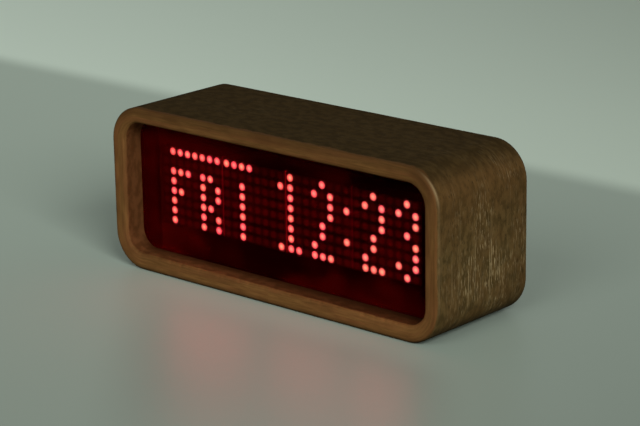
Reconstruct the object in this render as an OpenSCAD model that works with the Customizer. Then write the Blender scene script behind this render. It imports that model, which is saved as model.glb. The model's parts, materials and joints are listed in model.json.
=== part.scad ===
// Desk clock with a four-module dot matrix display in a rounded wooden case.
// The front looks along -Y, +X runs to the right along the case, and +Z is up.
// The origin is on the desk, under the middle of the case.

/* [Case] */
// Width of the wooden case
case_w = 165; // [148:1:190]
// Height of the wooden case
case_h = 66; // [64:1:90]
// Depth of the wooden case, front to back
case_d = 53; // [48:1:70]
// Outer radius of the case's four long corners
case_r = 14.5; // [12:0.5:17]
// Thickness of the wooden wall
wall = 6.8; // [5:0.1:7.2]
// Radius of the eased edges round both ends of the case
edge_r = 1.4; // [0.5:0.1:2.4]

/* [Window] */
// How far the window sits behind the front of the case
window_recess = 9; // [5:0.5:10]
// Thickness of the red window
window_t = 3; // [2:0.5:4]
// Gap between the window's edge and the wood
window_gap = 0.15; // [0.05:0.05:0.3]

/* [Dot matrix modules] */
// Room beside the display at each end, to the wooden wall
side_room = 10.2; // [9.5:0.1:12]
// Diameter of the round cells in a module's shell
cell_d = 3; // [2.4:0.1:3.1]
// Clearance between a dot and its cell, on the radius
dot_gap = 0.05; // [0.03:0.01:0.1]
// Depth of a module's shell
shell_d = 8; // [7:0.5:9]
// Thickness of the substrate in the back of a shell
substrate_t = 1.6; // [1:0.1:2]
// Rim of the shell round the substrate
shell_rim = 1.2; // [0.8:0.1:2]
// Clearance between the substrate and the shell's rim
substrate_gap = 0.1; // [0.05:0.05:0.2]
// Gap between neighbouring modules
module_gap = 1; // [0.5:0.1:1.2]
// Air gap between the window and the modules
display_gap = 0.3; // [0.2:0.1:0.6]
// Height of the display's middle above the middle of the case
display_lift = 0.9; // [0:0.1:1]
// Spacing of the pins along a row
pin_pitch = 2.54; // [2:0.02:2.54]
// Distance of a row of pins from the module's edge
pin_row_inset = 4; // [3.5:0.5:6]
// Diameter of a module's pins
pin_d = 0.5; // [0.4:0.05:0.6]
// Length of a module's pins
pin_length = 3.4; // [2.5:0.1:4]

/* [Message shown] */
// Day shown on the left
shown_day = "FRI"; // [SUN, MON, TUE, WED, THU, FRI, SAT]
// Hours shown
shown_hours = 12; // [10:1:23]
// Minutes shown
shown_minutes = 23; // [10:1:59]
// Number of dots lit in the bar of seconds
bar_count = 11; // [1:1:12]

/* [Display board] */
// Height of the pin sockets between the modules and the board
socket_h = 4.5; // [4.2:0.1:6]
// Width of a pin socket strip
socket_w = 2.5; // [2:0.1:3]
// Diameter of the hole for each pin in a socket
socket_bore = 0.8; // [0.7:0.05:1]
// Thickness of the circuit boards
board_t = 1.6; // [1:0.2:2]
// Gap between each end of the display board and the wooden wall
board_end_gap = 2.2; // [1:0.1:2.6]
// Length of a driver chip's body
driver_l = 15.4; // [10:0.2:16]
// Width of a driver chip's body
driver_w = 7.5; // [4:0.1:8]
// Height of a driver chip above the board
driver_h = 2.4; // [1.5:0.1:3]
// Pitch of a chip's legs
leg_pitch = 1.27; // [1:0.01:1.27]
// Number of legs along each side of a driver chip
driver_legs = 12; // [6:1:12]
// Size of a driver's capacitor: length, width and height
capacitor_size = [3.2, 1.6, 1.6]; // [0.5:0.1:4]
// Size of a driver's resistor: length, width and height
resistor_size = [2, 1.2, 0.6]; // [0.4:0.1:4]
// Distance of the capacitors and resistors from the middle of their chip
passive_offset = 6.5; // [6.2:0.1:8]

/* [Cleats and blocks] */
// Gap between the end modules and the cleats beside them
cleat_gap = 1.2; // [0.8:0.1:1.6]
// Glue line between the wooden blocks and the case
glue_gap = 0.1; // [0.05:0.01:0.2]
// Wood of a corner block beside its screw, towards the middle of the case
block_margin = 3; // [2.5:0.1:3.4]
// Gap between the display board and the corner blocks behind it
block_gap = 0.6; // [0.3:0.1:1]
// Distance of a cover screw's head from the wooden wall at the corner
head_margin = 1.5; // [1:0.1:2]

/* [Screws] */
// Shank diameter of the board screws
board_screw_d = 2.6; // [2:0.1:3]
// Length of the board screws under the head
board_screw_l = 9; // [6:0.5:11]
// Spacing of the two board screws at each end
board_screw_spacing = 22; // [16:1:26]
// Shank diameter of the cover screws
cover_screw_d = 2.8; // [2:0.1:3]
// Length of the cover screws under the head
cover_screw_l = 12; // [8:0.5:15]
// Shank diameter of the controller screws
controller_screw_d = 2.2; // [1.6:0.1:2.5]
// Head height of a screw as a share of its shank's diameter
head_h_ratio = 0.6; // [0.4:0.05:0.7]
// Head diameter of a screw as a share of its shank's diameter
head_d_ratio = 1.95; // [1.6:0.05:2]
// Clearance of a screw in its hole, on the radius
screw_gap = 0.1; // [0.05:0.05:0.2]
// Width of the slot across a screw head
slot_w = 0.6; // [0.4:0.1:0.8]
// Rounding of a screw head as a share of its height
head_round = 0.8; // [0.3:0.1:0.9]

/* [Rear cover] */
// How far the cover sits inside the back of the case
cover_recess = 5; // [4.5:0.5:6.5]
// Thickness of the rear cover
cover_t = 3; // [2.4:0.2:4]
// Gap between the cover's edge and the wood
cover_gap = 0.3; // [0.1:0.1:0.5]

/* [Setting buttons] */
// Distance of the last button from the wooden wall
button_margin = 17.7; // [16:0.1:18]
// Spacing of the buttons
button_spacing = 12; // [11.6:0.1:12.5]
// Diameter of a button's cap
cap_d = 5.6; // [5:0.1:6]
// How far a cap stands out of its bush
cap_out = 2.8; // [2.2:0.1:3]
// Running clearance of a cap in its bush, on the radius
cap_gap = 0.05; // [0.03:0.01:0.1]
// Radius of the eased edge round a cap's end
cap_ease = 0.8; // [0.3:0.1:1.2]
// Travel of a button
button_travel = 1.5; // [1:0.1:2]
// Outer diameter of a bush's barrel
barrel_d = 8.4; // [8.2:0.1:9]
// Length of the barrel inside the cover, as a share of the free depth there
barrel_share = 0.468; // [0.45:0.005:0.48]
// Diameter of a bush's flange
flange_d = 11; // [10:0.1:11.2]
// Thickness of a bush's flange
flange_t = 1.2; // [0.8:0.1:1.6]
// Radius of the eased edge round a flange
flange_ease = 0.5; // [0.2:0.1:0.7]
// Length of the bush's lip that guides the cap
lip_l = 1.6; // [1.2:0.1:2]
// Diameter of the cap's collar inside the bush
collar_d = 6.4; // [6.2:0.1:6.6]
// Thickness of the cap's collar
collar_t = 1; // [0.8:0.1:1.4]
// Bore of the barrel behind the lip
barrel_bore = 7; // [6.9:0.1:7.4]
// Diameter of the spigot that guides the spring
spigot_d = 2.6; // [2:0.1:2.8]
// Length of the spigot
spigot_l = 2; // [1:0.1:3]
// Mean diameter of the return spring's coils
spring_d = 4.2; // [4:0.1:4.4]
// Wire diameter of the return spring
spring_wire = 0.5; // [0.4:0.05:0.6]
// Number of turns in a return spring
spring_turns = 6; // [5:1:7]
// Thickness of the base that closes a bush
base_t = 1.2; // [1:0.1:1.6]
// Diameter of a button's terminals
terminal_d = 0.9; // [0.6:0.1:1]
// Length of a button's terminals, as a share of the free depth inside the cover
terminal_share = 0.14; // [0.12:0.01:0.15]
// Distance between a button's two terminals
terminal_spacing = 3; // [2.4:0.2:4]
// Thickness of the nuts on the bushes and the jack
nut_t = 2; // [1.5:0.1:2.5]
// Width across the flats of these nuts
nut_flats = 10.4; // [10:0.1:11]
// Clearance of a barrel in the cover and in its nut, on the radius
barrel_gap = 0.1; // [0.05:0.05:0.2]

/* [Power jack] */
// Distance of the jack from the wooden wall
jack_margin = 16.7; // [15.5:0.1:18]
// Bore of the jack for the plug's sleeve
jack_bore = 5.8; // [5.6:0.1:6]
// Depth of the jack's bore
jack_depth = 9; // [8:0.5:9.5]
// Diameter of the pin in the jack
jack_pin_d = 2; // [1.8:0.1:2.5]
// Length of the jack inside the cover, as a share of the free depth there
jack_share = 0.556; // [0.54:0.002:0.57]
// Size of a jack's lug: width, length and thickness
lug_size = [2, 2.4, 0.6]; // [0.4:0.1:3]
// Distance between the two lugs
lug_spacing = 4; // [3.4:0.2:5]

/* [Controller board] */
// Width of the controller board
controller_w = 56; // [50:1:62]
// Height of the controller board
controller_h = 30; // [28:1:36]
// Share of the free room beside it that lies towards the buttons
controller_shift = 0.256; // [0.2:0.01:0.4]
// Length of the spacers between the cover and the controller board
spacer_l = 4; // [3:0.5:5]
// Diameter of the spacers
spacer_d = 4.6; // [4.2:0.2:5]
// Distance of the spacers from the board's edges
spacer_inset = 3.2; // [3:0.1:4]
// Width of the square controller chip
chip_w = 7; // [5:0.5:9]
// Height of the controller chip above the board
chip_h = 1.4; // [1:0.1:2]
// Legs along each side of the controller chip
chip_legs = 8; // [4:1:8]
// Pitch of the controller chip's legs
chip_leg_pitch = 0.8; // [0.5:0.05:0.8]
// Length of the clock chip's body
clock_chip_l = 10.3; // [8:0.1:12]
// Width of the clock chip's body
clock_chip_w = 7.5; // [6:0.1:8]
// Legs along each side of the clock chip
clock_chip_legs = 8; // [4:1:8]
// Diameter of the coin cell
cell_w = 20; // [18:0.5:20]
// Thickness of the coin cell
cell_t = 3.2; // [2:0.1:3.6]
// Wall and floor of the coin cell's holder
holder_wall = 1; // [0.8:0.1:1.4]
// Clearance of the cell in its holder, on the radius
cell_gap = 0.2; // [0.1:0.05:0.3]
// Diameter of the filter capacitor
filter_d = 5; // [4:0.2:5.6]
// Height of the filter capacitor, as a share of the gap between the boards
filter_share = 0.52; // [0.4:0.02:0.7]
// Size of the crystal's can: length, width and height
crystal_size = [8, 3.8, 2.6]; // [2:0.1:9]

/* [Wiring] */
// Size of a ribbon connector, along X and along Z
connector_size = [8, 14]; // [4:0.5:15]
// Height of a ribbon connector, as a share of the gap between the boards
connector_share = 0.43; // [0.38:0.01:0.45]
// Width of the ribbon cable
ribbon_w = 11; // [9:0.5:12]
// Thickness of the ribbon cable
ribbon_t = 1.2; // [0.8:0.1:1.4]
// Diameter of the single leads
lead_d = 1.3; // [1:0.1:1.4]

/* [Hidden] */
$fn = 48;

// Small overlap that lets a cut pass through a face
cut = 1;
// Overlap that joins two shapes into one solid, and room at the end of a blind hole
bond = 0.2;

// Case and its inside
mid_z = case_h / 2;
front_y = -case_d / 2;
rear_y = case_d / 2;
inner_w = case_w - 2 * wall;
inner_h = case_h - 2 * wall;
inner_r = case_r - wall;

// Depths, counted from the front of the case
window_y = front_y + window_recess;
cleat_y = window_y + window_t;
shell_y = cleat_y + display_gap;
substrate_y = shell_y + shell_d - substrate_t;
socket_y = shell_y + shell_d;
board_y = socket_y + socket_h;
board_back_y = board_y + board_t;

// Depths, counted from the back of the case
cover_back_y = rear_y - cover_recess;
cover_y = cover_back_y - cover_t;
controller_back_y = cover_y - spacer_l;
controller_y = controller_back_y - board_t;

// Free depth between the display board and the rear cover, and the gap between the two boards
free_depth = cover_y - board_back_y;
board_gap = controller_y - board_back_y;

// Display layout
modules = 4;
side_dots = 8;
columns = modules * side_dots;
dot_pitch = (inner_w - 2 * side_room - (modules - 1) * module_gap) / columns;
module_w = side_dots * dot_pitch;
pin_row_spacing = module_w - 2 * pin_row_inset;
module_step = module_w + module_gap;
display_w = modules * module_step - module_gap;
display_z = mid_z + display_lift;
board_w = inner_w - 2 * board_end_gap;
pocket_w = module_w - 2 * shell_rim;
board_screw_x = (display_w / 2 + cleat_gap + board_w / 2) / 2;

// Corner blocks and the screws in them
corner_reach = (inner_r - cover_screw_d * head_d_ratio / 2 - head_margin) * sin(45);
cover_screw_x = inner_w / 2 - inner_r + corner_reach;
cover_screw_z = inner_h / 2 - inner_r + corner_reach;
block_x = cover_screw_x - block_margin;
block_z = cover_screw_z - block_margin;
block_y = board_back_y + block_gap;

// Buttons and jack
buttons = 3;
button_x = inner_w / 2 - button_margin - (buttons - 1) * button_spacing;
button_z = mid_z;
jack_x = inner_w / 2 - jack_margin;
barrel_in = free_depth * barrel_share;
terminal_l = free_depth * terminal_share;
jack_in = free_depth * jack_share;
flange_y = cover_back_y + flange_t;
lip_y = flange_y - lip_l;
barrel_end_y = cover_y - barrel_in;
base_end_y = barrel_end_y - base_t;
collar_end_y = lip_y - collar_t;
stop_y = collar_end_y - spigot_l - button_travel;
jack_end_y = cover_y - jack_in;
spring_clear = 0.05;

// Legs of the chips
chip_leg_w = 0.4;
chip_leg_out = 1.2;
chip_leg_ratio = 0.5;

// Wood left in the cover under the tips of the controller screws
cover_skin = 0.8;
controller_bite = cover_t - cover_skin;

// Place of the controller board between the nuts of the jack and the first button
controller_room = button_x + jack_x - nut_flats - controller_w;
controller_x = button_x - nut_flats / 2 - controller_room * controller_shift - controller_w / 2;

// Pieces on the controller board from left to right, with the same gap between them and at the ends
holder_d = cell_w + 2 * cell_gap + 2 * holder_wall;
chips_w = max(clock_chip_l, chip_w + 2 * chip_leg_out);
pieces_w = connector_size[0] + holder_d + chips_w + crystal_size[1] + lead_d;
pieces = 5;
piece_gap = (controller_w - pieces_w) / (pieces + 1);
holder_left = connector_size[0] + 2 * piece_gap - controller_w / 2;
chips_left = holder_left + holder_d + piece_gap;
crystal_left = chips_left + chips_w + piece_gap;
button_pad_in = piece_gap + lead_d / 2;

// Heights of the pieces above the board's middle, and the way from the cell to the filter capacitor
chip_rise = 8;
clock_rise = -8;
holder_rise = 1;
filter_way = [-7.5, -12.5];

// Places on the controller board, from its middle
chip_place = [chips_left + chips_w / 2, chip_rise];
clock_place = [chips_left + chips_w / 2, clock_rise];
crystal_place = [crystal_left + crystal_size[1] / 2, 0];
holder_place = [holder_left + holder_d / 2, holder_rise];
filter_place = holder_place + filter_way;
filter_h = board_gap * filter_share;
connector_h = board_gap * connector_share;
connector_x = controller_x - controller_w / 2 + connector_size[0] / 2 + piece_gap;

// Straight run of the ribbon cable out of each connector
ribbon_run = 1;

// Leads: sides of their tubes, steps between two places, and the pads where they end
lead_sides = 8;
lead_steps = 3;
button_pad_pitch = 2.8;
power_pad_pitch = 3;
power_pad_in = 7;
power_pad_drop = 11;

// How far the leads dip in front of their terminals, and the length of their bends
lead_dip_share = 0.105;
lead_dip = free_depth * lead_dip_share;
lead_rise = lead_dip / 3;
button_bend = 3;
button_last_bend = 2;
power_first_bend = [1, -lead_dip, -3];
power_bend_share = 0.25;
power_lift = 2;

// Angle of a screw's slot, and what it changes by from one side or level to the other
slot_angle = 20;
slot_side_turn = 35;
slot_level_turn = -60;

// Three-dot rows of each glyph, read as binary numbers with the left dot worth 4
digit_glyphs = ["25555552", "26222227", "25112247", "25121152", "55557111",
    "74461152", "25465552", "71122244", "25525552", "25553152"];
letters = "SUNMOTEWDHFRIA";
letter_glyphs = ["342116", "555557", "755555", "577555", "755557", "722222", "746447", "555775", "655556",
    "557555", "746444", "655655", "222222", "255755"];
glyph_w = 3;
glyph_step = 4;
letter_row = 2;
bar_column = 1;
digit_column = 15;
colon_column = 23;
colon_rows = [2, 5];
minute_column = 25;

// Placed glyphs of the message: first column, first row and rows of dots
message = concat(
    [for (i = [0:len(shown_day) - 1])
        [bar_column + i * glyph_step, letter_row, letter_glyphs[search(shown_day[i], letters)[0]]]],
    [[digit_column, 0, digit_glyphs[floor(shown_hours / 10)]],
     [digit_column + glyph_step, 0, digit_glyphs[shown_hours % 10]],
     [minute_column, 0, digit_glyphs[floor(shown_minutes / 10)]],
     [minute_column + glyph_step, 0, digit_glyphs[shown_minutes % 10]]]);

// Value of one row of a glyph's dots
function row_value(code, row) = ord(code[row]) - ord("0");

// Whether a placed glyph lights the dot at a row and column
function glyph_lights(glyph, row, column) =
    let (r = row - glyph[1], c = column - glyph[0])
    r >= 0 && r < len(glyph[2]) && c >= 0 && c < glyph_w
        && floor(row_value(glyph[2], r) / pow(2, glyph_w - 1 - c)) % 2 == 1;

// Whether the message lights the dot at a row and column
function is_lit(row, column) =
    row == 0 && column >= bar_column && column < bar_column + bar_count
    || column == colon_column && len(search(row, colon_rows)) > 0
    || len([for (glyph = message) if (glyph_lights(glyph, row, column)) 1]) > 0;

// Middle of a module, counted from the left, along X
function module_x(i) = (i - (modules - 1) / 2) * module_step;

// Middle of a dot along X and Z
function dot_x(column) =
    module_x(floor(column / side_dots)) + (column % side_dots - (side_dots - 1) / 2) * dot_pitch;
function dot_z(row) = display_z + ((side_dots - 1) / 2 - row) * dot_pitch;

// Middle of a button along X
function button_place(i) = button_x + i * button_spacing;

// Points of a smooth curve through a list of points
function curve(points, steps) = [
    for (i = [0:len(points) - 2])
        let (a = points[max(i - 1, 0)], b = points[i])
        let (c = points[i + 1], d = points[min(i + 2, len(points) - 1)])
        for (s = [0:steps - (i == len(points) - 2 ? 0 : 1)])
            let (t = s / steps)
            (2 * b + (c - a) * t + (2 * a - 5 * b + 4 * c - d) * t * t
                + (3 * b - a - 3 * c + d) * t * t * t) / 2];

// Unit vector along a vector
function unit(v) = v / norm(v);

// Directions of a path at its points, with its ends along the given directions
function path_ways(path, first, last) = [
    for (i = [0:len(path) - 1])
        i == 0 ? first : i == len(path) - 1 ? last : unit(path[i + 1] - path[i - 1])];

// Round solid that follows a path, with the sides of its rings set out from a fixed direction
module swept_tube(path, ways, radius, sides, side_way) {
    rings = [for (i = [0:len(path) - 1])
        let (u = unit(cross(ways[i], side_way)), v = cross(ways[i], u))
        for (k = [0:sides - 1]) path[i] + radius * (cos(360 * k / sides) * u + sin(360 * k / sides) * v)];
    last = (len(path) - 1) * sides;
    walls = [for (i = [0:len(path) - 2], k = [0:sides - 1])
        let (a = i * sides + k, b = i * sides + (k + 1) % sides)
        each [[a, a + sides, b], [b, a + sides, b + sides]]];
    start_cap = [for (k = [1:sides - 2]) [0, k, k + 1]];
    end_cap = [for (k = [1:sides - 2]) [last, last + k + 1, last + k]];
    polyhedron(points = rings, faces = concat(walls, start_cap, end_cap));
}

// Box between two opposite corners
module box(low, high) {
    translate(low) cube(high - low);
}

// Round rod along Y
module rod(x, z, y0, y1, d) {
    translate([x, y0, z]) rotate([-90, 0, 0]) cylinder(h = y1 - y0, d = d);
}

// Round rod along Y with an eased edge round its +Y end
module eased_rod(x, z, y0, y1, d, ease) {
    length = y1 - y0;
    translate([x, y0, z]) rotate([-90, 0, 0]) rotate_extrude() {
        square([d / 2, length - ease]);
        square([d / 2 - ease, length]);
        translate([d / 2 - ease, length - ease]) intersection() {
            circle(r = ease);
            square(ease);
        }
    }
}

// Runs its children at four corners about a middle height, each with its own angle for a screw's slot
module at_corners(x, z, middle_z) {
    for (i = [-1, 1], k = [-1, 1]) {
        $slot_turn = slot_angle + slot_side_turn * i + slot_level_turn * k;
        translate([i * x, 0, middle_z + k * z]) children();
    }
}

// Rectangle with round corners, about its middle
module round_rectangle(w, h, r) {
    square([w - 2 * r, h], center = true);
    square([w, h - 2 * r], center = true);
    for (x = [-1, 1], y = [-1, 1]) translate([x * (w / 2 - r), y * (h / 2 - r)]) circle(r = r);
}

// Plate that fills the inside of the case, less a gap round its edge
module inner_plate(gap, y0, y1) {
    translate([0, y1, mid_z]) rotate([90, 0, 0]) linear_extrude(height = y1 - y0)
        round_rectangle(inner_w - 2 * gap, inner_h - 2 * gap, inner_r - gap);
}

// Cross section of the wooden wall, from its inner face outwards
module wall_section() {
    translate([wall / 2, 0]) round_rectangle(wall, case_d, edge_r);
}

// One straight side of the case, turned about Y
module straight_wall(start, turn, length) {
    translate(start) rotate([0, turn, 0]) linear_extrude(height = length) wall_section();
}

// One rounded corner of the case, turned about Y
module corner_wall(x, z, turn) {
    translate([x, 0, z]) rotate([0, turn, 0]) rotate([90, 0, 0])
        rotate_extrude(angle = 90) translate([inner_r, 0]) wall_section();
}

module wooden_case() color("saddlebrown") {
    corner_x = case_w / 2 - case_r;
    corner_z = case_h / 2 - case_r;
    straight_wall([inner_w / 2, 0, case_r], 0, case_h - 2 * case_r);
    straight_wall([corner_x, 0, case_h - wall], -90, 2 * corner_x);
    straight_wall([-inner_w / 2, 0, case_h - case_r], 180, case_h - 2 * case_r);
    straight_wall([-corner_x, 0, wall], 90, 2 * corner_x);
    corner_wall(corner_x, mid_z + corner_z, 0);
    corner_wall(-corner_x, mid_z + corner_z, -90);
    corner_wall(-corner_x, mid_z - corner_z, 180);
    corner_wall(corner_x, mid_z - corner_z, 90);
}

module red_window() color("darkred") inner_plate(window_gap, window_y, cleat_y);

// Black shell of one module, with a round cell for each dot and a pocket for the substrate
module matrix_shell(i) color("#1c1a1a") difference() {
    translate([module_x(i) - module_w / 2, shell_y, display_z - module_w / 2])
        cube([module_w, shell_d, module_w]);
    translate([module_x(i) - pocket_w / 2, substrate_y, display_z - pocket_w / 2])
        cube([pocket_w, substrate_t + cut, pocket_w]);
    for (row = [0:side_dots - 1], column = [0:side_dots - 1])
        rod(dot_x(i * side_dots + column), dot_z(row), shell_y - cut, substrate_y + cut / 2, cell_d);
}

// Dots of the display that the message lights, or those that it leaves dark
module dots(lit) {
    for (row = [0:side_dots - 1], column = [0:columns - 1])
        if (is_lit(row, column) == lit)
            rod(dot_x(column), dot_z(row), shell_y, substrate_y, cell_d - 2 * dot_gap);
}

module lit_dots() color("tomato") dots(true);

module unlit_dots() color("#5a1410") dots(false);

module matrix_substrates() color("seagreen") for (i = [0:modules - 1]) {
    half = pocket_w / 2 - substrate_gap;
    translate([module_x(i), 0, display_z]) box([-half, substrate_y, -half], [half, socket_y, half]);
}

// Runs its children at the foot of each pin
module at_pins() {
    for (i = [0:modules - 1], side = [-1, 1], k = [0:side_dots - 1])
        translate([module_x(i), socket_y, display_z + side * pin_row_spacing / 2])
            translate([(k - (side_dots - 1) / 2) * pin_pitch, 0, 0]) children();
}

module matrix_pins() color("silver") at_pins() rod(0, 0, 0, pin_length, pin_d);

module matrix_sockets() color("#202020") difference() {
    socket_l = side_dots * pin_pitch;
    for (i = [0:modules - 1], side = [-1, 1])
        translate([module_x(i), socket_y, display_z + side * pin_row_spacing / 2])
            box([-socket_l / 2, 0, -socket_w / 2], [socket_l / 2, socket_h, socket_w / 2]);
    at_pins() rod(0, 0, -cut, pin_length + bond, socket_bore);
}

// Runs its children at each hole for the display board's screws
module at_board_screws() {
    at_corners(board_screw_x, board_screw_spacing / 2, display_z) children();
}

module display_board() color("darkgreen") difference() {
    translate([0, board_y, display_z])
        box([-board_w / 2, 0, -module_w / 2], [board_w / 2, board_t, module_w / 2]);
    at_board_screws() rod(0, 0, board_y - cut, board_back_y + cut, board_screw_d + 2 * screw_gap);
}

// Chip on the front of a board, with a row of legs along its top and bottom edges
module two_row_chip(length, width, height, legs, pitch) {
    leg_h = height * chip_leg_ratio;
    box([-length / 2, -height, -width / 2], [length / 2, 0, width / 2]);
    for (k = [0:legs - 1])
        translate([(k - (legs - 1) / 2) * pitch, 0, 0])
            box([-chip_leg_w / 2, -leg_h, -width / 2 - chip_leg_out],
                [chip_leg_w / 2, 0, width / 2 + chip_leg_out]);
}

module driver_chips() color("#2a2a2e") for (i = [0:modules - 1])
    translate([module_x(i), board_y, display_z])
        two_row_chip(driver_l, driver_w, driver_h, driver_legs, leg_pitch);

// Small part on the front of the display board, beside each driver chip
module driver_passives(size, way) {
    for (i = [0:modules - 1])
        translate([module_x(i), board_y, display_z + way * passive_offset])
            box([-size[0] / 2, -size[2], -size[1] / 2], [size[0] / 2, 0, size[1] / 2]);
}

module driver_capacitors() color("burlywood") driver_passives(capacitor_size, 1);

module driver_resistors() color("#303030") driver_passives(resistor_size, -1);

// Wooden cleat beside the display, between the window and the display board
module cleat(side) color("peru") difference() {
    near = display_w / 2 + cleat_gap;
    intersection() {
        inner_plate(glue_gap, cleat_y, board_y);
        translate([side * (near + case_w / 2), (cleat_y + board_y) / 2, mid_z])
            cube([case_w, case_d, case_h], center = true);
    }
    tip_y = board_back_y - board_screw_l - bond;
    at_board_screws() rod(0, 0, tip_y, board_y + cut, board_screw_d + 2 * screw_gap);
}

module left_cleat() cleat(-1);

module right_cleat() cleat(1);

// Slotted round-head screw along Y, with its head at the back
module screw(x, z, seat_y, length, d) {
    head_h = d * head_h_ratio;
    head_d = d * head_d_ratio;
    rod(x, z, seat_y - length, seat_y + bond, d);
    difference() {
        eased_rod(x, z, seat_y, seat_y + head_h, head_d, head_h * head_round);
        translate([x, seat_y + head_h, z]) rotate([0, $slot_turn, 0])
            cube([head_d + cut, head_h, slot_w], center = true);
    }
}

module board_screws() color("silver")
    at_board_screws() screw(0, 0, board_back_y, board_screw_l, board_screw_d);

// Runs its children at each of the cover's screws
module at_cover_screws() {
    at_corners(cover_screw_x, cover_screw_z, mid_z) children();
}

module cover_blocks() color("peru") difference() {
    intersection() {
        inner_plate(glue_gap, block_y, cover_y);
        union() for (x = [-1, 1], z = [-1, 1])
            translate([x * (block_x + case_w / 2), 0, mid_z + z * (block_z + case_h / 2)])
                cube([case_w, case_d, case_h], center = true);
    }
    tip_y = cover_back_y - cover_screw_l - bond;
    at_cover_screws() rod(0, 0, tip_y, cover_y + cut, cover_screw_d + 2 * screw_gap);
}

// Runs its children at each corner of the controller board, where its screws go
module at_controller_screws() {
    translate([controller_x, 0, 0])
        at_corners(controller_w / 2 - spacer_inset, controller_h / 2 - spacer_inset, mid_z) children();
}

module rear_cover() color("sienna") difference() {
    inner_plate(cover_gap, cover_y, cover_back_y);
    at_cover_screws() rod(0, 0, cover_y - cut, cover_back_y + cut, cover_screw_d + 2 * screw_gap);
    for (x = [-jack_x, each [for (i = [0:buttons - 1]) button_place(i)]])
        rod(x, button_z, cover_y - cut, cover_back_y + cut, barrel_d + 2 * barrel_gap);
    at_controller_screws()
        rod(0, 0, cover_y - cut, cover_y + controller_bite + bond, controller_screw_d + 2 * screw_gap);
}

module cover_screws() color("silver")
    at_cover_screws() screw(0, 0, cover_back_y, cover_screw_l, cover_screw_d);

module controller_board() color("darkgreen") difference() {
    box([controller_x - controller_w / 2, controller_y, mid_z - controller_h / 2],
        [controller_x + controller_w / 2, controller_back_y, mid_z + controller_h / 2]);
    at_controller_screws()
        rod(0, 0, controller_y - cut, controller_back_y + cut, controller_screw_d + 2 * screw_gap);
}

module controller_spacers() color("gold") at_controller_screws() difference() {
    rod(0, 0, controller_back_y, cover_y, spacer_d);
    rod(0, 0, controller_back_y - cut, cover_y + cut, controller_screw_d + 2 * screw_gap);
}

// The controller board's screws point to the back, so they are turned about
module controller_screws() color("silver") at_controller_screws()
    mirror([0, 1, 0]) screw(0, 0, -controller_y, board_t + spacer_l + controller_bite, controller_screw_d);

// Runs its children on the front of the controller board
module on_controller(place) {
    translate([controller_x + place[0], controller_y, mid_z + place[1]]) children();
}

module controller_chip() color("#2a2a2e") on_controller(chip_place) {
    leg = chip_leg_w / 2;
    leg_h = chip_h * chip_leg_ratio;
    half = chip_w / 2;
    tip = half + chip_leg_out;
    box([-half, -chip_h, -half], [half, 0, half]);
    for (k = [0:chip_legs - 1]) {
        place = (k - (chip_legs - 1) / 2) * chip_leg_pitch;
        box([place - leg, -leg_h, -tip], [place + leg, 0, tip]);
        box([-tip, -leg_h, place - leg], [tip, 0, place + leg]);
    }
}

module clock_chip() color("#2a2a2e") on_controller(clock_place)
    two_row_chip(clock_chip_l, clock_chip_w, driver_h, clock_chip_legs, leg_pitch);

module crystal() color("silver") on_controller(crystal_place)
    rotate([90, 0, 0]) linear_extrude(height = crystal_size[2])
        round_rectangle(crystal_size[1], crystal_size[0], crystal_size[1] / 2 - bond);

module filter_capacitor() color("midnightblue") on_controller(filter_place)
    rod(0, 0, -filter_h, 0, filter_d);

// Round cup for the coin cell, cut open on one side so that the cell lifts out
module cell_holder() color("#202020") on_controller(holder_place) difference() {
    bore = cell_w + 2 * cell_gap;
    rod(0, 0, -holder_wall - cell_t, 0, holder_d);
    rod(0, 0, -holder_wall - cell_t - cut, -holder_wall, bore);
    translate([0, -holder_wall - cell_t / 2 - cut, bore / 2])
        cube([bore / 2, cell_t + 2 * cut, bore / 2], center = true);
}

module coin_cell() color("silver") on_controller(holder_place)
    rod(0, 0, -holder_wall - cell_t, -holder_wall, cell_w);

// Connector on a board, with its height along +Y
module connector(y) {
    half = connector_size / 2;
    translate([connector_x, y, display_z]) box([-half[0], 0, -half[1]], [half[0], connector_h, half[1]]);
}

module display_connector() color("ivory") connector(board_back_y);

module controller_connector() color("ivory") connector(controller_y - connector_h);

// Path of the flat cable, which leaves both connectors towards -X and turns back on itself between them
module ribbon_path() {
    start_y = board_back_y + connector_h / 2;
    end_y = controller_y - connector_h / 2;
    turn_x = connector_x - connector_size[0] / 2 - ribbon_run;
    turn_r = (end_y - start_y) / 2;
    for (y = [start_y, end_y])
        translate([turn_x, y - ribbon_t / 2]) square([ribbon_run, ribbon_t]);
    translate([turn_x, start_y + turn_r]) difference() {
        circle(r = turn_r + ribbon_t / 2);
        circle(r = turn_r - ribbon_t / 2);
        translate([0, -2 * turn_r]) square(4 * turn_r);
    }
}

module ribbon_cable() color("gray")
    translate([0, 0, display_z - ribbon_w / 2]) linear_extrude(height = ribbon_w) ribbon_path();

// Body that goes through the cover, with a flange outside it
module panel_body(x, end_y) {
    rod(x, button_z, end_y, flange_y - flange_ease, barrel_d);
    eased_rod(x, button_z, cover_back_y, flange_y, flange_d, flange_ease);
}

module power_jack() color("#202020") difference() {
    panel_body(-jack_x, jack_end_y);
    rod(-jack_x, button_z, flange_y - jack_depth, flange_y + cut, jack_bore);
}

// The pin ends a little inside the mouth of the jack
module jack_pin() color("silver") {
    foot_y = flange_y - jack_depth;
    tip_y = flange_y - jack_pin_d / 2;
    eased_rod(-jack_x, button_z, foot_y, tip_y, jack_pin_d, jack_pin_d / 4);
}

// Six-sided nut on the inside of the cover
module cover_nut(x) {
    difference() {
        translate([x, cover_y - nut_t, button_z]) rotate([-90, 30, 0])
            cylinder(h = nut_t, d = nut_flats / cos(30), $fn = 6);
        rod(x, button_z, cover_y - nut_t - cut, cover_y + cut, barrel_d + 2 * barrel_gap);
    }
}

module jack_nut() color("silver") cover_nut(-jack_x);

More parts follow.
